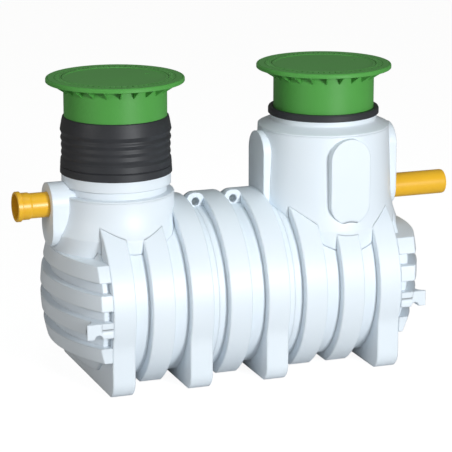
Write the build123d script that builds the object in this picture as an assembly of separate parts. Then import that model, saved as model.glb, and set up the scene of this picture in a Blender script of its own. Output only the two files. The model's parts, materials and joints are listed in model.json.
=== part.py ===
from build123d import *
import os
from math import asin, cos, pi, sin, sqrt

# A grease separator: a ribbed plastic tank with an inlet dome and an outlet dome, each closed
# by a telescopic cover, and with a pipe at each end. Millimetres; +X runs with the flow, +Z up.
# It is drawn about the middle of the ribbed barrel, then moved so that the origin is on the
# floor under the middle of its whole length.

# Barrel
wall = 12.0
rib_count = 8
rib_pitch = 255.0
rib_width = 148.0
rib_radius = 600.0
groove_depth = 58.0
rib_edge = 5.0
rib_ground_clearance = 22.0
belly_cut = 80.0
axis_height = rib_radius + rib_ground_clearance - belly_cut
crown = axis_height + rib_radius
foot_ribs = (1, 3, 5, 8)
foot_inset = 35.0
foot_half_width = rib_radius - foot_inset
foot_corner_radius = 110.0
foot_blend_radius = 260.0
foot_sole_radius = 26.0
sole_overlap = 0.5

# Ends of the tank: straight length, bulge, and how far over the axis each bulge is centred
inlet_end_straight = 75.0
inlet_end_lift = 0.0
outlet_end_straight = 90.0
outlet_end_lift = 100.0
end_bulge = 180.0
end_rib_count = 4
end_rib_drop = 292.0
end_rib_first = axis_height - end_rib_drop
end_rib_pitch = 171.0
end_rib_height = 98.0
end_groove_depth = 55.0
end_recess_depth = 100.0
lug_rib = 1
lug_reach = 171.0
lug_thickness = 125.0
lug_setback = 3.0
lug_notch_radius = 26.0
lug_notch_from_end = 74.0
lug_hollow_radius = 66.0
lug_hollow_overhang = 20.0
lug_hollow_setback = 82.0

# Lifting eyes between the middle ribs, a little in front of the centre line
eye_front = 92.0
eye_thickness = 48.0
eye_rise = 84.0
eye_hole_radius = 26.0
eye_floor_gap = 1.0
eye_roundness = 0.8
eye_grooves = (3, 4)

# Telescopic covers
tube_radius = 325.0
tube_wall = 8.0
flange_overhang = 111.0
flange_radius = tube_radius + flange_overhang
flange_thickness = 12.0
rim_height = 28.0
rim_thickness = 9.0
rim_edge = 3.0
rim_slope = 9.0
flange_groove_depth = 4.0
flange_groove_width = 5.0
outer_groove_inset = 12.0
inner_groove_inset = 55.0
slot_count = 64
slot_length = 26.0
slot_width = 8.0
slot_offset = 35.0
slot_centre_radius = tube_radius + slot_offset
gusset_count = 24
gusset_drop = 75.0
gusset_thickness = 7.0
gusset_tip_height = 10.0
gusset_start_angles = {"inlet": 3.0, "outlet": 10.5}

# Lids
lid_overlap = 11.0
lid_radius = tube_radius + lid_overlap
lid_gap = 3.0
lid_thickness = 10.0
lid_seat_thickness = 8.0
lid_seat_lip = 8.0
lid_seat_slope = 6.0
lid_skirt_height = 30.0
lid_skirt_gap = 6.0
lid_skirt_wall = 6.0
lid_rest_gap = 0.3
lid_border_width = 16.0
lid_edge = 3.0
lid_recess = 3.0
# Each key slot: inset from the lid edge, angle, length and width
key_slots = ((105.0, 10.7, 30.0, 13.0), (39.5, 3.5, 18.0, 9.0))
key_slot_depth = 6.0
lid_web_count = 6
lid_web_thickness = 6.0

# Inlet dome, with heights over the crown of the barrel or over the form below
inlet_dome_x = -752.0
dome_play = 41.0
inlet_dome_radius = tube_radius + dome_play
inlet_dome_rise = 70.0
inlet_dome_height = crown + inlet_dome_rise
inlet_skirt_rise = 20.0
inlet_skirt_spread = 54.0
inlet_skirt_depth = 190.0
inlet_dome_root = 20.0
inlet_waist_inset = 46.0
inlet_waist_radius = inlet_dome_radius - inlet_waist_inset
inlet_waist_length = 50.0
inlet_waist_height = inlet_dome_height + inlet_waist_length
neck_play = 21.0
inlet_neck_radius = tube_radius + neck_play
inlet_neck_length = 130.0
inlet_neck_top = inlet_waist_height + inlet_neck_length
dome_edge = 9.0

# Outlet dome
outlet_dome_x = 660.0
outlet_dome_play = 101.0
outlet_dome_radius = tube_radius + outlet_dome_play
outlet_dome_taper = 16.0
outlet_dome_rise = 398.0
outlet_dome_shoulder = crown + outlet_dome_rise
outlet_skirt_rise = 0.0
outlet_skirt_spread = 42.0
outlet_skirt_depth = 212.0
outlet_slope_rise = 35.0
outlet_neck_inset = 1.0
outlet_neck_radius = inlet_neck_radius - outlet_neck_inset
outlet_neck_length = 68.0
outlet_neck_top = outlet_dome_shoulder + outlet_slope_rise + outlet_neck_length

# Pipes, and the flat bosses that they enter
pipe_radius = 80.0
pipe_wall = 5.0
pipe_fit = 0.3
pipe_seal_gap = 0.99
inlet_pipe_drop = 60.0
inlet_pipe_height = inlet_dome_height - inlet_pipe_drop
inlet_pipe_length = 207.0
socket_length = 82.0
socket_wall = 5.5
socket_taper = 12.0
socket_bead_width = 32.0
socket_bead_height = 10.0
socket_bead_edge = 4.0
outlet_pipe_drop = 457.0
outlet_pipe_height = outlet_dome_shoulder - outlet_pipe_drop
outlet_pipe_length = 393.0
spigot_taper_length = 12.0
spigot_taper_depth = 3.0
pipe_inside = 40.0
inlet_boss_depth = 90.0
inlet_boss_reach = inlet_dome_radius + inlet_boss_depth
inlet_boss_half_width = 128.0
inlet_boss_over_pipe = 139.0
inlet_boss_under_pipe = 266.0
outlet_boss_depth = 40.0
outlet_boss_reach = outlet_dome_radius + outlet_boss_depth
outlet_boss_half_width = 134.0
outlet_boss_top_gap = 20.0
outlet_boss_bottom_gap = 575.0

# Rubber sleeve and seal, with depths measured down from the top of the sleeve
rubber_fit = 0.3
sleeve_over_neck = 302.0
sleeve_top = inlet_neck_top + sleeve_over_neck
sleeve_under_neck_top = 60.0
sleeve_bottom = inlet_neck_top - sleeve_under_neck_top
sleeve_wall = 7.0
sleeve_lip_height = 40.0
sleeve_radius = inlet_neck_radius - 5.0
sleeve_lip_inset = 6.0
sleeve_lip_edge = 5.0
sleeve_bulge_depth = 86.0
sleeve_bulge = 10.0
corrugation_start = 114.0
corrugation_pitch = 47.0
corrugation_heights = (8.0, 5.0, 5.0)
corrugation_steps = 6
band_start = 269.0
band_swell = 11.0
band_spread = 13.0
band_groove = 311.0
band_groove_half = 6.0
band_groove_depth = 6.0
band_edge = 3.0
seal_ring_overlap = 32.0
seal_ring_height = 45.0
seal_ring_bottom = outlet_neck_top - seal_ring_overlap
seal_ring_top = seal_ring_bottom + seal_ring_height
seal_ring_wall = 14.0
seal_ring_edge = 5.0
flange_rise = 242.0
flange_top = sleeve_top + flange_rise
tube_below_sleeve_top = 134.0
tube_bottom = sleeve_top - tube_below_sleeve_top

parts = {}
barrel_half = (rib_count - 1) * rib_pitch / 2 + rib_width / 2
end_rib_top = end_rib_first + (end_rib_count - 1) * end_rib_pitch + end_rib_height
far = 4000.0


def block(x0, x1, y0, y1, z0, z1):
    return Pos((x0 + x1) / 2, (y0 + y1) / 2, (z0 + z1) / 2) * Box(x1 - x0, y1 - y0, z1 - z0)


def turned(points, x=0.0):
    """A body turned about the vertical line at x from (radius, height) corners."""
    face = make_face(Polyline([(r, 0, z) for r, z in points], close=True))
    return Pos(x, 0, 0) * revolve(face, Axis.Z, 360)


def ringed(outer, bore, low, high, x=0.0):
    return turned([(bore, low), (outer, low), (outer, high), (bore, high)], x)


def rod(radius, x0, x1, height):
    """A round bar along X at a height over the floor."""
    return Pos((x0 + x1) / 2, 0, height) * Rot(0, 90, 0) * Cylinder(radius, x1 - x0)


# Tank: the same forms are made twice, once outside and once a wall thickness further in
def section(inset, footed):
    """The tank's cross-section: round and clipped below, or with straight sides down to a foot."""
    radius = rib_radius - inset
    if not footed:
        low = rib_ground_clearance + inset
        return Pos(0, axis_height) * Circle(radius) & Pos(0, low + radius) * Rectangle(far, 2 * radius)
    side = foot_half_width - inset
    lower = Pos(0, (axis_height + inset) / 2) * Rectangle(2 * side, axis_height - inset)
    lower = fillet(lower.vertices().group_by(Axis.Y)[0], foot_corner_radius - inset)
    meeting = axis_height - sqrt(radius ** 2 - side ** 2)
    upper = Pos(0, axis_height) * Circle(radius) & Pos(0, meeting + radius) * Rectangle(far, 2 * radius)
    whole = lower + upper
    kinks = whole.vertices().filter_by(lambda corner: abs(corner.Y - meeting) < 1)
    return fillet(kinks, foot_blend_radius + inset)


def run(inset, footed, x0, x1):
    return extrude(Plane.YZ.offset(x0) * section(inset, footed), x1 - x0)


def rib_centre(k):
    return (k - (rib_count + 1) / 2) * rib_pitch


def sole_form(k, inset):
    """What a rib is cut to so that the two long edges of its foot are rounded."""
    half = rib_width / 2 - inset + sole_overlap
    low = inset - sole_overlap
    profile = Pos(rib_centre(k), low + crown / 2) * Rectangle(2 * half, crown)
    profile = fillet(profile.vertices().group_by(Axis.Y)[0], foot_sole_radius - inset)
    tall = Pos(rib_centre(k), low + crown) * Rectangle(2 * half, crown)
    return extrude(Plane.XZ * (profile + tall), far / 2, both=True)


def rib(k, inset):
    half = rib_width / 2 - inset
    footed = k in foot_ribs
    body = run(inset, footed, rib_centre(k) - half, rib_centre(k) + half)
    if inset == 0:
        ends = body.faces().sort_by(Axis.X)
        body = chamfer(ends[0].edges() + ends[-1].edges(), rib_edge)
    return body & sole_form(k, inset) if footed else body


def bay(first, last, inset):
    """Ribs first to last with the grooves between them and half a groove at an inner end."""
    body = rib(first, inset)
    if first > 1:
        body = body + run(inset + groove_depth, False, rib_centre(first) - rib_pitch / 2,
                          rib_centre(first) - rib_width / 2 + inset)
    for k in range(first, last + 1):
        stop = rib_centre(k + 1) - rib_width / 2 + inset if k < last else rib_centre(k) + rib_pitch / 2
        if k < rib_count:
            body = body + run(inset + groove_depth, False, rib_centre(k) + rib_width / 2 - inset, stop)
        if k < last:
            body = body + rib(k + 1, inset)
    return body


def end_form(inset, start, straight, lift, footed):
    """One bulging end before its grooves: the tank's section cut by a large ball."""
    tip = barrel_half + straight + end_bulge
    ball_radius = (rib_radius ** 2 + end_bulge ** 2) / (2 * end_bulge)
    ball = Pos(tip - ball_radius, 0, axis_height + lift) * Sphere(ball_radius - inset)
    return run(inset, footed, start, tip) & ball


def end_cap(inset, straight, lift):
    """A bulging end: a deep recess, a shallower one behind the level ribs, and the ribs."""
    start = barrel_half - 1.5 * inset
    body = end_form(inset + end_recess_depth, start, straight, lift, False)
    panel = end_form(inset + end_groove_depth, start, straight, lift, True)
    body = body + (panel & block(-far, far, -far, far, end_rib_first + inset, end_rib_top - inset))
    whole = end_form(inset, barrel_half, straight, lift, True)
    for k in range(end_rib_count):
        low = end_rib_first + k * end_rib_pitch
        body = body + (whole & block(-far, far, -far, far, low + inset, low + end_rib_height - inset))
    return body


bays = {"barrel_inlet_bay": (1, 3), "barrel_middle_bay": (4, 5), "barrel_outlet_bay": (6, rib_count)}
tank_solids = {name: bay(*ribs, 0.0) for name, ribs in bays.items()}
tank_hollows = [bay(*ribs, wall) for ribs in bays.values()]
tank_solids["outlet_end"] = end_cap(0.0, outlet_end_straight, outlet_end_lift)
tank_solids["inlet_end"] = mirror(end_cap(0.0, inlet_end_straight, inlet_end_lift), Plane.YZ)
tank_hollows.append(end_cap(wall, outlet_end_straight, outlet_end_lift))
tank_hollows.append(mirror(end_cap(wall, inlet_end_straight, inlet_end_lift), Plane.YZ))


def outside_tank(body):
    for solid in tank_solids.values():
        body = body - solid
    return body


# Domes: a foot, a skirt that curves outwards, and a wall up to the shoulder
def dome_form(x, radius, top_radius, height, skirt, base, inset):
    skirt_top, spread, depth = skirt
    bend = (spread ** 2 + depth ** 2) / (2 * spread)
    sweep = asin(depth / bend)

    def on_skirt(share):
        reach = bend + inset
        return radius + bend - reach * cos(share * sweep), 0, skirt_top - reach * sin(share * sweep)

    foot = on_skirt(1)[0]
    corners = [on_skirt(0), (top_radius - inset, 0, height), (0, 0, height), (0, 0, base), (foot, 0, base)]
    edge = Polyline(corners + [on_skirt(1)]) + ThreePointArc(on_skirt(1), on_skirt(0.5), on_skirt(0))
    return Pos(x, 0, 0) * revolve(make_face(edge), Axis.Z, 360)


inlet_skirt = (crown + inlet_skirt_rise, inlet_skirt_spread, inlet_skirt_depth)
inlet_dome_shape = (inlet_dome_x, inlet_dome_radius, inlet_dome_radius, inlet_dome_height - wall,
                    inlet_skirt, end_rib_top - inlet_dome_root)
outlet_skirt = (crown + outlet_skirt_rise, outlet_skirt_spread, outlet_skirt_depth)
outlet_dome_shape = (outlet_dome_x, outlet_dome_radius + outlet_dome_taper, outlet_dome_radius,
                     outlet_dome_shoulder - wall, outlet_skirt, axis_height)
inlet_dome_outer = dome_form(*inlet_dome_shape, 0.0)
inlet_dome_inner = dome_form(*inlet_dome_shape, wall)
outlet_dome_outer = dome_form(*outlet_dome_shape, 0.0)
outlet_dome_inner = dome_form(*outlet_dome_shape, wall)
for name, solid in tank_solids.items():
    for hollow in (*tank_hollows, inlet_dome_inner, outlet_dome_inner):
        solid = solid - hollow
    parts[name] = solid


# Front corner lugs with a half-round notch, where slings pass, and a hollow at the tip
def lug(end_name, side):
    low = end_rib_first + lug_rib * end_rib_pitch
    tip = barrel_half + lug_reach
    x0, x1 = sorted((side * barrel_half, side * tip))
    notch = Pos(side * (tip - lug_notch_from_end), 0, low) * Rot(90, 0, 0) * Cylinder(lug_notch_radius, far)
    hollow = Pos(side * (tip + lug_hollow_overhang), lug_hollow_setback - lug_setback - rib_radius, low)
    bar = block(x0, x1, lug_setback - rib_radius, lug_thickness - rib_radius, low, low + end_rib_height)
    return bar - notch - hollow * Cylinder(lug_hollow_radius, far) - tank_solids[end_name]


parts["inlet_front_lug"] = lug("inlet_end", -1)
parts["outlet_front_lug"] = lug("outlet_end", 1)


# Lifting eyes on the crown of the barrel
def lifting_eye(groove):
    centre = (groove - rib_count / 2) * rib_pitch
    root = crown - groove_depth
    half = (rib_pitch - rib_width) / 2 + rib_edge
    hole_height = root + eye_floor_gap + eye_hole_radius
    arch = Pos(centre, root + (eye_rise - groove_depth) / 2) * Rectangle(2 * half, eye_rise + groove_depth)
    arch = fillet(arch.vertices().group_by(Axis.Y)[-1], half * eye_roundness)
    arch = arch - Pos(centre, hole_height) * Circle(eye_hole_radius)
    return outside_tank(extrude(Plane.XZ.offset(eye_front) * arch, -eye_thickness))


parts["lifting_eye_inlet_side"] = lifting_eye(eye_grooves[0])
parts["lifting_eye_outlet_side"] = lifting_eye(eye_grooves[1])

# Inlet dome: shoulder, waist and neck over its wall
inlet_shoulder_outline = [
    (inlet_dome_radius, inlet_dome_height - wall), (inlet_dome_radius, inlet_dome_height - dome_edge),
    (inlet_dome_radius - dome_edge / 3, inlet_dome_height - dome_edge / 3),
    (inlet_dome_radius - dome_edge, inlet_dome_height), (inlet_waist_radius, inlet_dome_height),
    (inlet_waist_radius, inlet_waist_height), (inlet_neck_radius, inlet_waist_height),
    (inlet_neck_radius, inlet_neck_top)]
inlet_shoulder = turned([(inlet_waist_radius - wall, inlet_dome_height - wall), *inlet_shoulder_outline,
                         (inlet_neck_radius - wall, inlet_neck_top),
                         (inlet_neck_radius - wall, inlet_waist_height + wall),
                         (inlet_waist_radius - wall, inlet_waist_height + wall)], inlet_dome_x)
inlet_shoulder_solid = turned([(0, inlet_dome_height - wall), *inlet_shoulder_outline, (0, inlet_neck_top)],
                              inlet_dome_x)


def stadium(half, low, high):
    return Pos(0, (low + high) / 2) * SlotOverall(high - low, 2 * half, rotation=90)


def upright_pad(reach, half, low, high, inset, start):
    """A tall round-ended pad that faces +X, out to its reach from the dome's axis."""
    return extrude(Plane.YZ.offset(start) * stadium(half - inset, low + inset, high - inset), reach - start)


inlet_boss_size = (inlet_boss_half_width, inlet_pipe_height - inlet_boss_under_pipe,
                   inlet_pipe_height + inlet_boss_over_pipe)
inlet_pad = upright_pad(inlet_boss_reach, *inlet_boss_size, 0, inlet_dome_radius / 2)
inlet_pad_hollow = upright_pad(inlet_boss_reach - wall, *inlet_boss_size, wall, inlet_dome_radius / 2 - 1)
turn = Pos(inlet_dome_x, 0, 0) * Rot(0, 0, 180)
inlet_face = inlet_dome_x - inlet_boss_reach
inlet_pipe_end = inlet_face - inlet_pipe_length
inlet_bore = rod(pipe_radius + pipe_seal_gap, inlet_pipe_end, inlet_dome_x, inlet_pipe_height)
parts["inlet_dome"] = outside_tank(inlet_dome_outer - inlet_dome_inner) - turn * inlet_pad_hollow
parts["inlet_neck"] = inlet_shoulder - inlet_bore
inlet_boss = turn * (inlet_pad - inlet_pad_hollow) - inlet_dome_outer - inlet_shoulder_solid
parts["inlet_boss"] = outside_tank(inlet_boss) - inlet_bore

# Outlet dome: a slightly tapering wall, a sloping shoulder and a neck
slope_top = outlet_dome_shoulder + outlet_slope_rise
neck_foot = 4.0
parts["outlet_neck"] = turned([
    (outlet_dome_radius - wall, outlet_dome_shoulder - wall),
    (outlet_dome_radius, outlet_dome_shoulder - wall), (outlet_dome_radius, outlet_dome_shoulder),
    (outlet_neck_radius + neck_foot, slope_top),
    (outlet_neck_radius, slope_top + neck_foot), (outlet_neck_radius, outlet_neck_top),
    (outlet_neck_radius - wall, outlet_neck_top), (outlet_neck_radius - wall, slope_top - wall)],
    outlet_dome_x)
outlet_face = outlet_dome_x + outlet_boss_reach
outlet_pipe_end = outlet_face + outlet_pipe_length
outlet_bore = rod(pipe_radius + pipe_seal_gap, outlet_dome_x, outlet_pipe_end, outlet_pipe_height)
outlet_dome = outside_tank(outlet_dome_outer - outlet_dome_inner)
outlet_boss_size = (outlet_boss_half_width, outlet_dome_shoulder - outlet_boss_bottom_gap,
                    outlet_dome_shoulder - outlet_boss_top_gap)
pad = upright_pad(outlet_boss_reach, *outlet_boss_size, 0, outlet_dome_radius / 2)
pad_hollow = upright_pad(outlet_boss_reach - wall, *outlet_boss_size, wall, outlet_dome_radius / 2 - 1)
for name, angle in (("end", 0), ("rear", 90), ("inner", 180), ("front", 270)):
    turn = Pos(outlet_dome_x, 0, 0) * Rot(0, 0, angle)
    boss = outside_tank(turn * (pad - pad_hollow) - outlet_dome_outer)
    parts[f"outlet_{name}_boss"] = boss - outlet_bore if angle == 0 else boss
    outlet_dome = outlet_dome - turn * pad_hollow
parts["outlet_dome"] = outlet_dome - outlet_bore

# Pipes: a socket at the inlet and a plain spigot at the outlet
inner = pipe_radius - pipe_wall
socket_bore = pipe_radius + pipe_fit
socket_outer = socket_bore + socket_wall
bead_outer = socket_outer + socket_bead_height
pipe_stop = inlet_boss_reach - sqrt(inlet_dome_radius ** 2 - pipe_radius ** 2) + wall + pipe_inside
inlet_pipe = Pos(inlet_pipe_end, 0, inlet_pipe_height) * Rot(0, 90, 0) * turned([
    (socket_bore, 0), (bead_outer - socket_bead_edge, 0), (bead_outer, socket_bead_edge),
    (bead_outer, socket_bead_width - socket_bead_edge), (bead_outer - socket_bead_edge, socket_bead_width),
    (socket_outer, socket_bead_width), (socket_outer, socket_length),
    (pipe_radius, socket_length + socket_taper), (pipe_radius, inlet_pipe_length + pipe_stop),
    (inner, inlet_pipe_length + pipe_stop), (inner, socket_length), (socket_bore, socket_length)])
parts["inlet_pipe"] = inlet_pipe
outlet_start = outlet_dome_x + sqrt((outlet_dome_radius - wall) ** 2 - pipe_radius ** 2) - pipe_inside
outlet_run = outlet_pipe_end - outlet_start
parts["outlet_pipe"] = Pos(outlet_start, 0, outlet_pipe_height) * Rot(0, 90, 0) * turned([
    (inner, 0), (pipe_radius, 0), (pipe_radius, outlet_run - spigot_taper_length),
    (pipe_radius - spigot_taper_depth, outlet_run), (inner, outlet_run)])

# Corrugated rubber sleeve on the inlet neck, gripping the cover's tube at its top
fit_radius = tube_radius + rubber_fit
lip_radius = sleeve_radius - sleeve_lip_inset
outline = [(lip_radius - sleeve_lip_edge, 0), (lip_radius, sleeve_lip_edge)]
outline += [(sleeve_radius, sleeve_bulge_depth / 3), (sleeve_radius + sleeve_bulge, sleeve_bulge_depth)]
for k, height in enumerate(corrugation_heights):
    for step in range(corrugation_steps):
        share = step / corrugation_steps
        outline.append((sleeve_radius + height * (1 - cos(2 * pi * share)) / 2,
                        corrugation_start + (k + share) * corrugation_pitch))
outline.append((sleeve_radius, corrugation_start + len(corrugation_heights) * corrugation_pitch))
band_radius = sleeve_radius + band_swell
sleeve_depth = sleeve_top - sleeve_bottom
outline += [(band_radius - band_edge, band_start), (band_radius, band_groove - band_groove_half),
            (band_radius - band_groove_depth, band_groove), (band_radius, band_groove + band_groove_half),
            (sleeve_radius + band_spread, sleeve_depth - 4 * band_edge),
            (sleeve_radius + band_spread, sleeve_depth - band_edge), (band_radius - band_edge, sleeve_depth)]
neck_grip = inlet_neck_radius + rubber_fit
hollow_radius = sleeve_radius - sleeve_wall
neck_seat = inlet_neck_top + band_edge
outline = [(r, sleeve_top - depth) for r, depth in outline]
outline += [(neck_grip, sleeve_bottom), (neck_grip, neck_seat), (hollow_radius, neck_seat),
            (hollow_radius, sleeve_top - sleeve_lip_height), (fit_radius, sleeve_top - sleeve_lip_height),
            (fit_radius, sleeve_top)]
parts["inlet_sleeve"] = turned(outline, inlet_dome_x)

# Seal ring clipped over the outlet neck
ring_bore = outlet_neck_radius + rubber_fit
ring_outer = outlet_neck_radius + seal_ring_wall
parts["outlet_seal_ring"] = turned([
    (ring_bore, seal_ring_bottom), (ring_outer - seal_ring_edge, seal_ring_bottom),
    (ring_outer, seal_ring_bottom + seal_ring_edge), (ring_outer, seal_ring_top - 2 * seal_ring_edge),
    (ring_outer - seal_ring_edge, seal_ring_top), (fit_radius + seal_ring_edge, seal_ring_top),
    (fit_radius, seal_ring_top - seal_ring_edge), (fit_radius, outlet_neck_top + rubber_fit),
    (ring_bore, outlet_neck_top + rubber_fit)], outlet_dome_x)

# Telescopic covers: tube, flange with slots and gussets, and a lid that lifts off
seat_radius = lid_radius + lid_gap
seat_top = flange_top - lid_thickness - lid_rest_gap
seat_under = seat_top - lid_seat_thickness
flange_under = flange_top - flange_thickness
seat_lip_radius = seat_radius + lid_seat_lip


def groove_cut(radius):
    """Corners of a shallow V groove in the flange's top, from its outer side inwards."""
    half = flange_groove_width / 2
    floor = flange_top - flange_groove_depth
    return [(radius + half, flange_top), (radius, floor), (radius - half, flange_top)]


def cover_flange():
    body = turned([
        (seat_radius, flange_top), (seat_radius, seat_top), (tube_radius - tube_wall, seat_top),
        (tube_radius - tube_wall, seat_under), (seat_lip_radius, seat_under),
        (seat_lip_radius + lid_seat_slope, flange_under), (flange_radius - rim_thickness, flange_under),
        (flange_radius - rim_thickness, flange_top - rim_height),
        (flange_radius - rim_edge, flange_top - rim_height),
        (flange_radius, flange_top - rim_height + rim_edge), (flange_radius, flange_top - rim_slope),
        (flange_radius - rim_edge, flange_top - rim_edge), (flange_radius - rim_slope, flange_top),
        *groove_cut(flange_radius - outer_groove_inset), *groove_cut(flange_radius - inner_groove_inset)])
    slot = Box(slot_length, slot_width, 3 * flange_thickness)
    return body - [Rot(0, 0, 360 * k / slot_count) * Pos(slot_centre_radius, 0, flange_under) * slot
                   for k in range(slot_count)]


def gussets(start_angle):
    foot_radius = tube_radius + rubber_fit
    outer = flange_radius - rim_thickness - rubber_fit
    face = make_face(Polyline([
        (foot_radius, 0, seat_under), (seat_lip_radius, 0, seat_under),
        (seat_lip_radius + lid_seat_slope, 0, flange_under), (outer, 0, flange_under),
        (outer, 0, flange_under - gusset_tip_height), (foot_radius, 0, flange_under - gusset_drop)],
        close=True))
    plate = extrude(face, gusset_thickness / 2, both=True)
    return [Rot(0, 0, start_angle + 360 * k / gusset_count) * plate for k in range(gusset_count)]


def lid():
    under = flange_top - lid_thickness
    border = lid_radius - lid_border_width
    skirt_outer = tube_radius - tube_wall - lid_skirt_gap
    skirt_inner = skirt_outer - lid_skirt_wall
    skirt_low = under - lid_skirt_height
    body = turned([
        (0, flange_top - lid_recess), (border - lid_edge, flange_top - lid_recess), (border, flange_top),
        (lid_radius - lid_edge, flange_top), (lid_radius, flange_top - lid_edge), (lid_radius, under),
        (skirt_outer, under), (skirt_outer, skirt_low), (skirt_inner, skirt_low), (skirt_inner, under),
        (0, under)])
    half = lid_web_thickness / 2
    web = block(0, skirt_inner + 1, -half, half, skirt_low, under)
    for k in range(lid_web_count):
        body = body + Rot(0, 0, 360 * k / lid_web_count) * web
    for inset, angle, length, width in key_slots:
        pocket = Pos(lid_radius - inset, 0, flange_top - lid_recess) * Box(length, width, 2 * key_slot_depth)
        body = body - Rot(0, 0, angle) * pocket
    return body


flange_form = cover_flange()
lid_form = lid()
for name, x in (("inlet", inlet_dome_x), ("outlet", outlet_dome_x)):
    parts[f"{name}_riser_tube"] = ringed(tube_radius, tube_radius - tube_wall, tube_bottom, seat_under, x)
    parts[f"{name}_riser_flange"] = Pos(x, 0, 0) * flange_form
    plates = gussets(gusset_start_angles[name])
    parts[f"{name}_riser_gussets"] = Compound([Pos(x, 0, 0) * plate for plate in plates])
    parts[f"{name}_lid"] = Pos(x, 0, 0) * lid_form

middle = (inlet_pipe_end + outlet_pipe_end) / 2
os.makedirs("parts", exist_ok=True)
for name, shape in parts.items():
    export_step(Pos(-middle, 0, 0) * shape, f"parts/{name}.step")
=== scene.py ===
import json
import math
import bpy
import numpy as np
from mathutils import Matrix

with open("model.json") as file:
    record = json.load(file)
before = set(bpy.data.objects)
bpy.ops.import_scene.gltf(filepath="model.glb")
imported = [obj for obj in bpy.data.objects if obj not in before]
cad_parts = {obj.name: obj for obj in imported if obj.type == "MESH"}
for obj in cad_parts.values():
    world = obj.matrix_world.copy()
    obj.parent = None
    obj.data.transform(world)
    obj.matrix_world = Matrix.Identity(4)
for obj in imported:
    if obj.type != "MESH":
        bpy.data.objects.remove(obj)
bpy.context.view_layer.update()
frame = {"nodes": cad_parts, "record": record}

# Camera, at the photograph's place and angle
view = {
    "place": (-5.0320, -13.3837, 4.5269),
    "azimuth": -20.362,    # degrees, left of square-on to the tank's long side
    "down": 14.23,         # degrees below level
    "focalPixels": 2278.3,
    "frameWidth": 452,     # pixels
    "filmWidth": 36.0,     # millimetres
    "reach": 200.0,
}


def makeCamera():
    data = bpy.data.cameras.new("photoCamera")
    data.sensor_width = view["filmWidth"]
    data.lens = view["filmWidth"] * view["focalPixels"] / view["frameWidth"]
    data.clip_end = view["reach"]
    camera = bpy.data.objects.new("photoCamera", data)
    camera.location = view["place"]
    camera.rotation_euler = (math.radians(90 - view["down"]), 0, math.radians(view["azimuth"]))
    bpy.context.scene.collection.objects.link(camera)
    bpy.context.scene.camera = camera


makeCamera()
bpy.context.scene.view_settings.view_transform = "Standard"
print("camera placed")


# Shader writing: a wire is a socket that can be used in arithmetic
class Wire:
    def __init__(self, sheet, socket):
        self.sheet = sheet
        self.socket = socket

    def math(self, operation, other):
        return self.sheet.node("ShaderNodeMath", {"operation": operation}, {0: self, 1: other})

    def __add__(self, other):
        return self.math("ADD", other)

    def __sub__(self, other):
        return self.math("SUBTRACT", other)

    def __mul__(self, other):
        return self.math("MULTIPLY", other)

    def __radd__(self, other):
        return self.math("ADD", other)

    def __rmul__(self, other):
        return self.math("MULTIPLY", other)


# A sheet is the node tree of one material or world; node() takes a type, its settings, then its inputs
class Sheet:
    def __init__(self, tree):
        self.tree = tree
        tree.nodes.clear()

    def node(self, kind, settings=None, inputs=None, output=0):
        made = self.tree.nodes.new(kind)
        for name, value in (settings or {}).items():
            setattr(made, name, value)
        for key, value in (inputs or {}).items():
            if isinstance(value, Wire):
                self.tree.links.new(value.socket, made.inputs[key])
            else:
                made.inputs[key].default_value = value
        return Wire(self, made.outputs[output]) if len(made.outputs) else made

    def noise(self, scale, detail=2.0, stretch=(1, 1, 1)):
        place = self.node("ShaderNodeTexCoord", output="Object")
        spot = self.node("ShaderNodeMapping", {}, {"Vector": place, "Scale": stretch})
        return self.node("ShaderNodeTexNoise", {}, {"Vector": spot, "Scale": scale, "Detail": detail})

    # A colour mix takes its two colours in sockets 6 and 7, and gives the result in output 2
    def blend(self, amount, first, second):
        return self.node("ShaderNodeMix", {"data_type": "RGBA"}, {0: amount, 6: first, 7: second}, output=2)

    def bump(self, height, strength, distance, rounding=0.0):
        inputs = {"Height": height, "Strength": strength, "Distance": distance}
        if rounding:
            inputs["Normal"] = self.node("ShaderNodeBevel", {"samples": 4}, {"Radius": rounding})
        return self.node("ShaderNodeBump", {}, inputs)

    def finish(self, sockets):
        shader = self.node("ShaderNodeBsdfPrincipled", {}, sockets)
        self.node("ShaderNodeOutputMaterial", {}, {"Surface": shader})


def material(name):
    made = bpy.data.materials.new(name)
    made.use_nodes = True
    return made, Sheet(made.node_tree)


# A screen colour, 0 to 255, as the light values that a shader takes
def screen(red, green, blue):
    parts = np.array((red, green, blue)) / 255.0
    light = np.where(parts < 0.04045, parts / 12.92, ((parts + 0.055) / 1.055) ** 2.4)
    return (*map(float, light), 1.0)


# A value that wanders with a noise, whose middle is one half
def wander(middle, play, noise):
    return middle + play * (noise - 0.5)


# White tank: faint clouds of shade, a fine grain on slow ripples, edges softened by softEdge metres
tankLook = {
    "pale": (236, 243, 249), "deep": (229, 238, 246), "cloudScale": 2.3,
    "roughness": 0.42, "roughnessPlay": 0.08,
    "rippleScale": 14.0, "grainScale": 420.0, "grainShare": 0.15,
    "bump": 0.25, "bumpDepth": 0.0012, "softEdge": 0.012,
}


def mouldedTank():
    look = tankLook
    made, sheet = material("mouldedTank")
    cloud = sheet.noise(look["cloudScale"], 3.0)
    grain = sheet.noise(look["grainScale"])
    ripple = sheet.noise(look["rippleScale"])
    surface = grain * look["grainShare"] + ripple
    sheet.finish({
        "Base Color": sheet.blend(cloud, screen(*look["deep"]), screen(*look["pale"])),
        "Roughness": wander(look["roughness"], look["roughnessPlay"], cloud),
        "Normal": sheet.bump(surface, look["bump"], look["bumpDepth"], look["softEdge"])})
    return made


# Green covers and lids: faint clouds of shade and a fine grain
coverLook = {
    "light": (87, 165, 76), "dark": (80, 156, 70), "cloudScale": 5.0,
    "roughness": 0.42, "roughnessPlay": 0.1, "gloss": 0.3,
    "grainScale": 650.0, "bump": 0.2, "bumpDepth": 0.0006,
}


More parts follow.
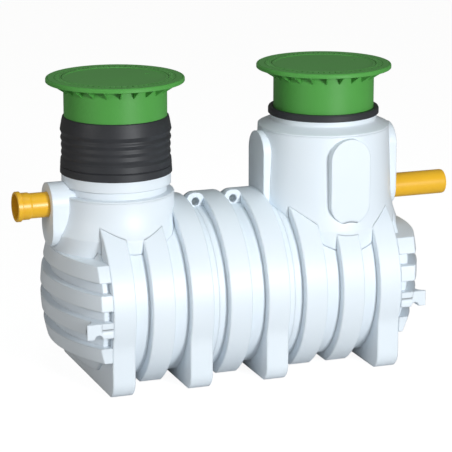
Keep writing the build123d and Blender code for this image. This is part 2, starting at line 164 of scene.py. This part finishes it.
def mouldedCover():
    look = coverLook
    made, sheet = material("mouldedCover")
    cloud = sheet.noise(look["cloudScale"], 3.0)
    sheet.finish({
        "Base Color": sheet.blend(cloud, screen(*look["dark"]), screen(*look["light"])),
        "Specular IOR Level": look["gloss"],
        "Roughness": wander(look["roughness"], look["roughnessPlay"], cloud),
        "Normal": sheet.bump(sheet.noise(look["grainScale"]), look["bump"], look["bumpDepth"])})
    return made


# Black rubber: dusty patches and a fine grain
rubberLook = {
    "dark": (44, 45, 48), "dusty": (54, 55, 59), "dustScale": 6.0,
    "roughness": 0.5, "roughnessPlay": 0.15, "gloss": 0.35,
    "grainScale": 500.0, "bump": 0.25, "bumpDepth": 0.0006,
}


def sealRubber():
    look = rubberLook
    made, sheet = material("sealRubber")
    dust = sheet.noise(look["dustScale"], 4.0)
    sheet.finish({
        "Base Color": sheet.blend(dust, screen(*look["dark"]), screen(*look["dusty"])),
        "Specular IOR Level": look["gloss"],
        "Roughness": wander(look["roughness"], look["roughnessPlay"], dust),
        "Normal": sheet.bump(sheet.noise(look["grainScale"]), look["bump"], look["bumpDepth"])})
    return made


# Yellow pipes: faint clouds of shade, and streaks that run along X as the pipe was drawn
pipeLook = {
    "light": (248, 192, 44), "dark": (240, 182, 38), "cloudScale": 9.0,
    "roughness": 0.34, "roughnessPlay": 0.1,
    "streakScale": 60.0, "streakStretch": (0.06, 1, 1), "bump": 0.15, "bumpDepth": 0.001,
}


def drainPipe():
    look = pipeLook
    made, sheet = material("drainPipe")
    streak = sheet.noise(look["streakScale"], stretch=look["streakStretch"])
    cloud = sheet.noise(look["cloudScale"], 3.0)
    sheet.finish({
        "Base Color": sheet.blend(cloud, screen(*look["dark"]), screen(*look["light"])),
        "Roughness": wander(look["roughness"], look["roughnessPlay"], streak),
        "Normal": sheet.bump(streak, look["bump"], look["bumpDepth"])})
    return made


coverPlastic = mouldedCover()
looks = {"tank_plastic": mouldedTank(), "cover_plastic": coverPlastic, "lid_plastic": coverPlastic,
         "seal_rubber": sealRubber(), "pipe_plastic": drainPipe()}
slotOf = {row["node"]: row["material_slot"] for row in frame["record"]["subparts"]}
for name, node in frame["nodes"].items():
    for slot in node.material_slots:
        slot.material = looks[slotOf[name]]
print("materials set")

# Floor: the camera sees it glow white under a dim matt layer that keeps the shadow, light sees it grey
floorLook = {
    "size": 60.0, "cloudScale": 1.5, "deep": (0.55, 0.55, 0.55, 1), "pale": (0.58, 0.58, 0.58, 1),
    "dim": (0.2, 0.2, 0.2, 1), "glow": 0.93,
}


def whiteFloor():
    look = floorLook
    half = look["size"] / 2
    mesh = bpy.data.meshes.new("floor")
    mesh.from_pydata([(-half, -half, 0), (half, -half, 0), (half, half, 0), (-half, half, 0)], [],
                     [(0, 1, 2, 3)])
    floor = bpy.data.objects.new("floor", mesh)
    bpy.context.scene.collection.objects.link(floor)
    made, sheet = material("floorWhite")
    path = sheet.node("ShaderNodeLightPath", output="Is Camera Ray")
    grey = sheet.blend(sheet.noise(look["cloudScale"]), look["deep"], look["pale"])
    plain = sheet.node("ShaderNodeBsdfDiffuse", {}, {"Color": grey})
    dim = sheet.node("ShaderNodeBsdfDiffuse", {}, {"Color": look["dim"]})
    glow = sheet.node("ShaderNodeEmission", {}, {"Strength": look["glow"]})
    lit = sheet.node("ShaderNodeAddShader", {}, {0: dim, 1: glow})
    both = sheet.node("ShaderNodeMixShader", {}, {0: path, 1: plain, 2: lit})
    sheet.node("ShaderNodeOutputMaterial", {}, {"Surface": both})
    mesh.materials.append(made)


# World: the camera sees white, the tank gets a weak warm light from all sides
worldLook = {
    "tint": (1.0, 0.965, 0.92, 1), "ambient": 0.185,
    "backdrop": (1, 1, 1, 1), "backdropStrength": 1.0,
}


def studioWorld():
    look = worldLook
    world = bpy.data.worlds.new("studio")
    bpy.context.scene.world = world
    world.use_nodes = True
    sheet = Sheet(world.node_tree)
    path = sheet.node("ShaderNodeLightPath", output="Is Camera Ray")
    soft = sheet.node("ShaderNodeBackground", {}, {"Color": look["tint"], "Strength": look["ambient"]})
    white = sheet.node("ShaderNodeBackground", {}, {"Color": look["backdrop"],
                                                    "Strength": look["backdropStrength"]})
    both = sheet.node("ShaderNodeMixShader", {}, {0: path, 1: soft, 2: white})
    sheet.node("ShaderNodeOutputWorld", {}, {"Surface": both})


# azimuth and height are the directions that the lamp stands in, in degrees, seen from its aim
lamps = {
    "key": {"azimuth": 12, "height": 12, "distance": 14.0, "size": 3.0, "power": 1400,
            "tint": (0.95, 0.98, 1.0)},
    "fill": {"azimuth": -72, "height": 16, "distance": 10.0, "size": 4.0, "power": 152,
             "tint": (1.0, 0.98, 0.95)},
    "sky": {"azimuth": -30, "height": 74, "distance": 8.0, "size": 5.0, "power": 130,
            "tint": (0.8, 0.93, 1.0)},
}
aimHeight = 0.9


def makeLamp(name, lamp):
    data = bpy.data.lights.new(name, "AREA")
    data.shape = "DISK"
    data.size = lamp["size"]
    data.energy = lamp["power"]
    data.color = lamp["tint"]
    made = bpy.data.objects.new(name, data)
    turn, rise = math.radians(lamp["azimuth"]), math.radians(lamp["height"])
    level = lamp["distance"] * math.cos(rise)
    made.location = (level * math.sin(turn), -level * math.cos(turn),
                     aimHeight + lamp["distance"] * math.sin(rise))
    made.rotation_euler = (math.radians(90) - rise, 0, turn)
    bpy.context.scene.collection.objects.link(made)


whiteFloor()
studioWorld()
for name, lamp in lamps.items():
    makeLamp(name, lamp)
print("floor, world and lamps made")
